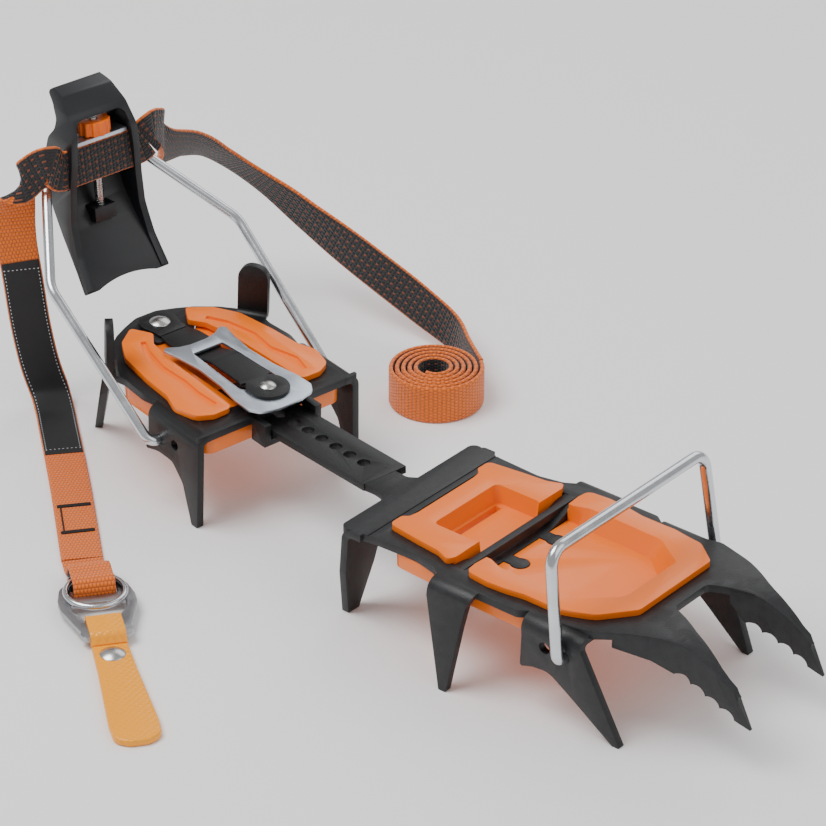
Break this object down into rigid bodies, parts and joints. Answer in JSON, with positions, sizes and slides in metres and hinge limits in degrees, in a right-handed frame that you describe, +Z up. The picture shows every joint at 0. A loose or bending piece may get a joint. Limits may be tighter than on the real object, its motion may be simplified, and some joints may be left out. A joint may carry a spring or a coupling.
{
  "type": "crampon",
  "caption": "hinged ice crampon with toothed front points, wire toe and heel bails, a screw-set heel lever, snow-shedding plates and a webbing ankle strap",
  "frame": {"origin": "middle of the toe half's rear edge, on the plane the boot sole rests on", "axes": "+X towards the toes, +Y to the wearer's left, +Z up out of the sole plane"},
  "size_m": [0.3796, 0.299, 0.1327],
  "materials": {
    "steel": "fine-grained black coating, semi-matt",
    "orange_plastic": "satin orange moulding",
    "zinc_wire": "bright zinc-plated wire",
    "rivet_steel": "plain bright steel",
    "bright_plate": "zinc-plated sheet",
    "black_plastic": "satin black moulding",
    "webbing": "woven webbing, orange outside and black inside",
    "ring_steel": "tumbled stainless steel",
    "yellow_tab": "yellow-orange coated fabric, diamond grain"
  },
  "bodies": {
    "toe_half": {"front_frame": "steel", "front_antiball_plate": "orange_plastic"},
    "toe_wire": {"toe_bail": "zinc_wire"},
    "bar": {"link_bar": "steel"},
    "heel_half": {"rear_frame": "steel", "rear_antiball_plate": "orange_plastic", "spring_root": "steel", "heel_rivet": "rivet_steel", "strap_right_run": "webbing", "strap_left_run": "webbing", "strap_roll": "webbing", "strap_loop": "webbing", "flat_ring": "ring_steel", "tab_fold": "yellow_tab"},
    "lock": {"lock_spring": "steel", "lock_plate": "bright_plate", "locking_pin": "rivet_steel"},
    "heel_wire": {"heel_bail": "zinc_wire"},
    "carriage": {"carriage_nut": "black_plastic"},
    "lever": {"heel_lever": "black_plastic", "bearing_plate": "bright_plate", "strap_centre": "webbing"},
    "screw": {"adjuster_screw": "rivet_steel", "thumb_wheel": "orange_plastic"},
    "loose_ring": {"wire_ring": "zinc_wire"},
    "tab": {"pull_tab": "yellow_tab", "tab_cap": "ring_steel"}
  },
  "joints": [
    {"name": "toe_wire_swing", "type": "hinge", "parent": "toe_half", "child": "toe_wire", "pos_m": [0.1066, 0, -0.0094], "axis": [0, 1, 0], "range_deg": [-50, 75]},
    {"name": "bar_flex", "type": "hinge", "parent": "toe_half", "child": "bar", "pos_m": [0.0161, 0, -0.0015], "axis": [0, 1, 0], "range_deg": [-4, 0], "stiffness_Nm_per_rad": 20, "springref_deg": 1.72},
    {"name": "size_slide", "type": "slide", "parent": "bar", "child": "heel_half", "axis": [0.9856, -0.1685, 0.0175], "range_m": [-0.01644, 0.00822], "deforming": ["locking_pin"]},
    {"name": "lock_lift", "type": "hinge", "parent": "heel_half", "child": "lock", "pos_m": [-0.13983, 0.0239, 0.00438], "axis": [-0.1685, -0.9857, 0], "range_deg": [0, 6], "stiffness_Nm_per_rad": 1, "springref_deg": -3.44},
    {"name": "heel_wire_swing", "type": "hinge", "parent": "heel_half", "child": "heel_wire", "pos_m": [-0.0988, 0.01689, -0.01066], "axis": [0.1685, 0.9857, 0], "range_deg": [-10, 70], "deforming": ["strap_right_run", "strap_left_run"]},
    {"name": "lever_turn", "type": "hinge", "parent": "heel_wire", "child": "carriage", "pos_m": [-0.19083, 0.03262, 0.05918], "axis": [0.1685, 0.9857, 0], "range_deg": [-60, 5], "deforming": ["strap_right_run", "strap_left_run"]},
    {"name": "lever_shift", "type": "slide", "parent": "carriage", "child": "lever", "axis": [-0.0825, 0.0141, 0.9965], "range_m": [-0.004, 0], "deforming": ["strap_right_run", "strap_left_run"]},
    {"name": "screw_spin", "type": "hinge", "parent": "lever", "child": "screw", "pos_m": [-0.18651, 0.03188, 0.05955], "axis": [-0.0825, 0.0141, 0.9965], "range_deg": [-1160, 0]},
    {"name": "ring_lift", "type": "hinge", "parent": "heel_half", "child": "loose_ring", "pos_m": [-0.08378, -0.08408, -0.0333], "axis": [-0.6018, -0.7986, 0], "range_deg": [0, 10], "deforming": ["strap_loop"]},
    {"name": "tab_lift", "type": "hinge", "parent": "heel_half", "child": "tab", "pos_m": [-0.05016, -0.10942, -0.0366], "axis": [-0.6018, -0.7986, 0], "range_deg": [0, 75]}
  ],
  "couplings": [
    {"joint": "screw_spin", "follows": "lever_shift", "rad_per_m": 5026.5}
  ]
}
